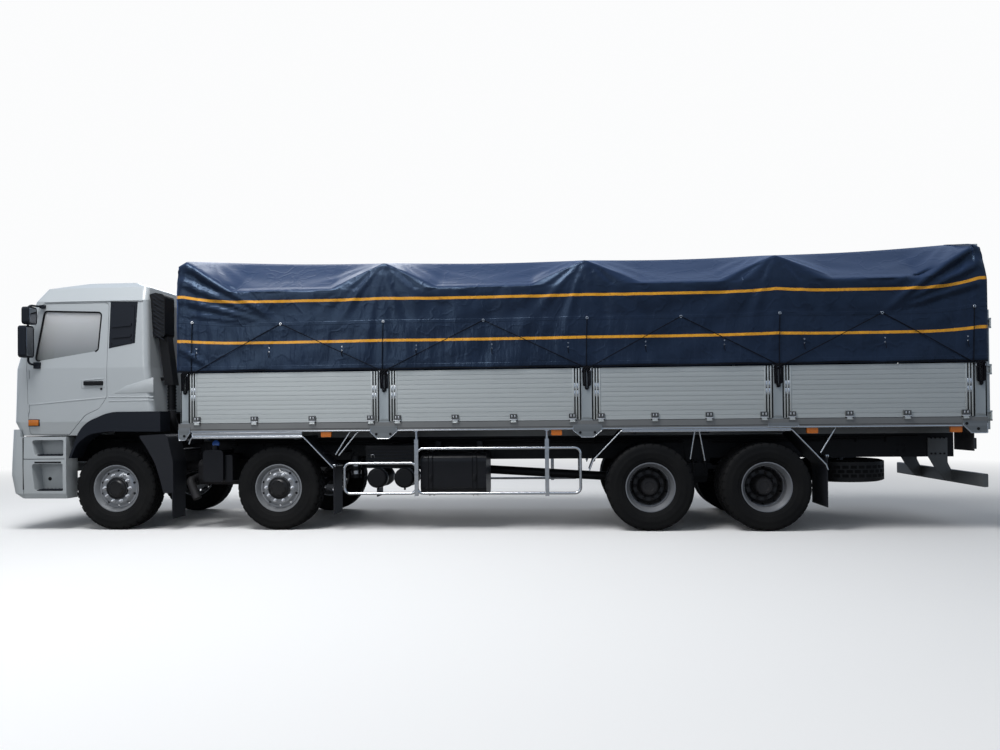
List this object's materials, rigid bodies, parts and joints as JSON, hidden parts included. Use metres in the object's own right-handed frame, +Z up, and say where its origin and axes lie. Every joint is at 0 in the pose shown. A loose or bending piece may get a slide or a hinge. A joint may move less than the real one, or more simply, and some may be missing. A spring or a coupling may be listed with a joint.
{
  "type": "covered cargo truck",
  "caption": "Cab-over cargo truck with steered front axles, tilting cab, drop-side boards and a tarpaulin over hoops.",
  "frame": {"origin": "on the ground under the middle of the overall length and width", "axes": "+X forwards, +Y to the truck's left, +Z up"},
  "size_m": [12.1892, 2.92, 3.511],
  "materials": {
    "white_paint": "gloss",
    "dark_plastic": "grained",
    "chassis_black": "satin",
    "tank_black": "satin",
    "engine_iron": "rough",
    "tyre_rubber": "matte",
    "rim_silver": "satin",
    "bright_steel": "brushed",
    "rib_aluminium": "brushed",
    "body_paint": "satin",
    "tarpaulin_cloth": "coated",
    "cab_glass": "polished",
    "lamp_lens": "clear",
    "seat_cloth": "woven"
  },
  "bodies": {
    "root": {"chassis_frame": "chassis_black", "engine_block": "engine_iron", "axles": "chassis_black", "leaf_springs": "chassis_black", "front_bumper": "white_paint", "fuel_tank": "tank_black", "battery_and_air_tanks": "chassis_black", "urea_tank": "tank_black", "exhaust_and_intake_pipe": "engine_iron", "side_guards": "bright_steel", "mudguards": "bright_steel", "spare_wheel": "tyre_rubber", "underrun_bar": "rib_aluminium", "lamps": "lamp_lens", "cargo_bed": "body_paint", "hoops": "body_paint", "tarpaulin": "tarpaulin_cloth"},
    "cab": {"cab_shell": "white_paint", "windscreen": "cab_glass", "front_grille": "dark_plastic", "cab_interior": "seat_cloth", "cab_trim": "dark_plastic", "intake_snorkel": "dark_plastic"},
    "door_left": {"cab_door_left": "white_paint", "door_glass_left": "cab_glass", "mirror_left": "dark_plastic"},
    "rear_door_left": {"rear_door_left": "rib_aluminium"},
    "side_board_left_1": {"side_board_left_1": "rib_aluminium"},
    "side_board_left_2": {"side_board_left_2": "rib_aluminium"},
    "side_board_left_3": {"side_board_left_3": "rib_aluminium"},
    "side_board_left_4": {"side_board_left_4": "rib_aluminium"},
    "knuckle_1_left": {"knuckle_1_left": "chassis_black"},
    "wheel_1_left": {"tyre_1_left": "tyre_rubber", "rim_1_left": "rim_silver"},
    "knuckle_2_left": {"knuckle_2_left": "chassis_black"},
    "wheel_2_left": {"tyre_2_left": "tyre_rubber", "rim_2_left": "rim_silver"},
    "wheel_3_left": {"tyre_3_left": "tyre_rubber", "rim_3_left": "rim_silver"},
    "wheel_4_left": {"tyre_4_left": "tyre_rubber", "rim_4_left": "rim_silver"},
    "door_right": {"cab_door_right": "white_paint", "door_glass_right": "cab_glass", "mirror_right": "dark_plastic"},
    "rear_door_right": {"rear_door_right": "rib_aluminium"},
    "side_board_right_1": {"side_board_right_1": "rib_aluminium"},
    "side_board_right_2": {"side_board_right_2": "rib_aluminium"},
    "side_board_right_3": {"side_board_right_3": "rib_aluminium"},
    "side_board_right_4": {"side_board_right_4": "rib_aluminium"},
    "knuckle_1_right": {"knuckle_1_right": "chassis_black"},
    "wheel_1_right": {"tyre_1_right": "tyre_rubber", "rim_1_right": "rim_silver"},
    "knuckle_2_right": {"knuckle_2_right": "chassis_black"},
    "wheel_2_right": {"tyre_2_right": "tyre_rubber", "rim_2_right": "rim_silver"},
    "wheel_3_right": {"tyre_3_right": "tyre_rubber", "rim_3_right": "rim_silver"},
    "wheel_4_right": {"tyre_4_right": "tyre_rubber", "rim_4_right": "rim_silver"}
  },
  "joints": [
    {"name": "cab_tilt", "type": "hinge", "parent": "root", "child": "cab", "pos_m": [5.88, 0, 1.32], "axis": [0, 1, 0], "range_deg": [0, 50]},
    {"name": "door_swing_left", "type": "hinge", "parent": "cab", "child": "door_left", "pos_m": [5.68, 1.227, 2], "axis": [0, 0, -1], "range_deg": [0, 70]},
    {"name": "rear_door_swing_left", "type": "hinge", "parent": "root", "child": "rear_door_left", "pos_m": [-6.085, 1.243, 1.888], "axis": [0, 0, -1], "range_deg": [0, 235]},
    {"name": "board_drop_left_1", "type": "hinge", "parent": "root", "child": "side_board_left_1", "pos_m": [2.34, 1.262, 1.325], "axis": [-1, 0, 0], "range_deg": [0, 170]},
    {"name": "board_drop_left_2", "type": "hinge", "parent": "root", "child": "side_board_left_2", "pos_m": [-0.165, 1.262, 1.325], "axis": [-1, 0, 0], "range_deg": [0, 170]},
    {"name": "board_drop_left_3", "type": "hinge", "parent": "root", "child": "side_board_left_3", "pos_m": [-2.5325, 1.262, 1.325], "axis": [-1, 0, 0], "range_deg": [0, 170]},
    {"name": "board_drop_left_4", "type": "hinge", "parent": "root", "child": "side_board_left_4", "pos_m": [-4.8, 1.262, 1.325], "axis": [-1, 0, 0], "range_deg": [0, 170]},
    {"name": "steer_1_left", "type": "hinge", "parent": "root", "child": "knuckle_1_left", "pos_m": [4.57, 0.93, 0.525], "axis": [0, 0, 1], "range_deg": [-35, 35]},
    {"name": "roll_1_left", "type": "hinge", "parent": "knuckle_1_left", "child": "wheel_1_left", "pos_m": [4.57, 1.03, 0.525], "axis": [0, 1, 0], "continuous": true},
    {"name": "steer_2_left", "type": "hinge", "parent": "root", "child": "knuckle_2_left", "pos_m": [2.45, 0.93, 0.525], "axis": [0, 0, 1], "range_deg": [-26.25, 26.25]},
    {"name": "roll_2_left", "type": "hinge", "parent": "knuckle_2_left", "child": "wheel_2_left", "pos_m": [2.45, 1.03, 0.525], "axis": [0, 1, 0], "continuous": true},
    {"name": "roll_3_left", "type": "hinge", "parent": "root", "child": "wheel_3_left", "pos_m": [-2.16, 0.9375, 0.525], "axis": [0, 1, 0], "continuous": true},
    {"name": "roll_4_left", "type": "hinge", "parent": "root", "child": "wheel_4_left", "pos_m": [-3.53, 0.9375, 0.525], "axis": [0, 1, 0], "continuous": true},
    {"name": "door_swing_right", "type": "hinge", "parent": "cab", "child": "door_right", "pos_m": [5.68, -1.227, 2], "axis": [0, 0, 1], "range_deg": [0, 70]},
    {"name": "rear_door_swing_right", "type": "hinge", "parent": "root", "child": "rear_door_right", "pos_m": [-6.085, -1.243, 1.888], "axis": [0, 0, 1], "range_deg": [0, 235]},
    {"name": "board_drop_right_1", "type": "hinge", "parent": "root", "child": "side_board_right_1", "pos_m": [2.34, -1.262, 1.325], "axis": [1, 0, 0], "range_deg": [0, 170]},
    {"name": "board_drop_right_2", "type": "hinge", "parent": "root", "child": "side_board_right_2", "pos_m": [-0.165, -1.262, 1.325], "axis": [1, 0, 0], "range_deg": [0, 170]},
    {"name": "board_drop_right_3", "type": "hinge", "parent": "root", "child": "side_board_right_3", "pos_m": [-2.5325, -1.262, 1.325], "axis": [1, 0, 0], "range_deg": [0, 170]},
    {"name": "board_drop_right_4", "type": "hinge", "parent": "root", "child": "side_board_right_4", "pos_m": [-4.8, -1.262, 1.325], "axis": [1, 0, 0], "range_deg": [0, 170]},
    {"name": "steer_1_right", "type": "hinge", "parent": "root", "child": "knuckle_1_right", "pos_m": [4.57, -0.93, 0.525], "axis": [0, 0, 1], "range_deg": [-35, 35]},
    {"name": "roll_1_right", "type": "hinge", "parent": "knuckle_1_right", "child": "wheel_1_right", "pos_m": [4.57, -1.03, 0.525], "axis": [0, 1, 0], "continuous": true},
    {"name": "steer_2_right", "type": "hinge", "parent": "root", "child": "knuckle_2_right", "pos_m": [2.45, -0.93, 0.525], "axis": [0, 0, 1], "range_deg": [-26.25, 26.25]},
    {"name": "roll_2_right", "type": "hinge", "parent": "knuckle_2_right", "child": "wheel_2_right", "pos_m": [2.45, -1.03, 0.525], "axis": [0, 1, 0], "continuous": true},
    {"name": "roll_3_right", "type": "hinge", "parent": "root", "child": "wheel_3_right", "pos_m": [-2.16, -0.9375, 0.525], "axis": [0, 1, 0], "continuous": true},
    {"name": "roll_4_right", "type": "hinge", "parent": "root", "child": "wheel_4_right", "pos_m": [-3.53, -0.9375, 0.525], "axis": [0, 1, 0], "continuous": true}
  ],
  "couplings": [
    {"joint": "steer_1_right", "follows": "steer_1_left", "ratio": 1},
    {"joint": "steer_2_left", "follows": "steer_1_left", "ratio": 0.75},
    {"joint": "steer_2_right", "follows": "steer_1_left", "ratio": 0.75}
  ]
}
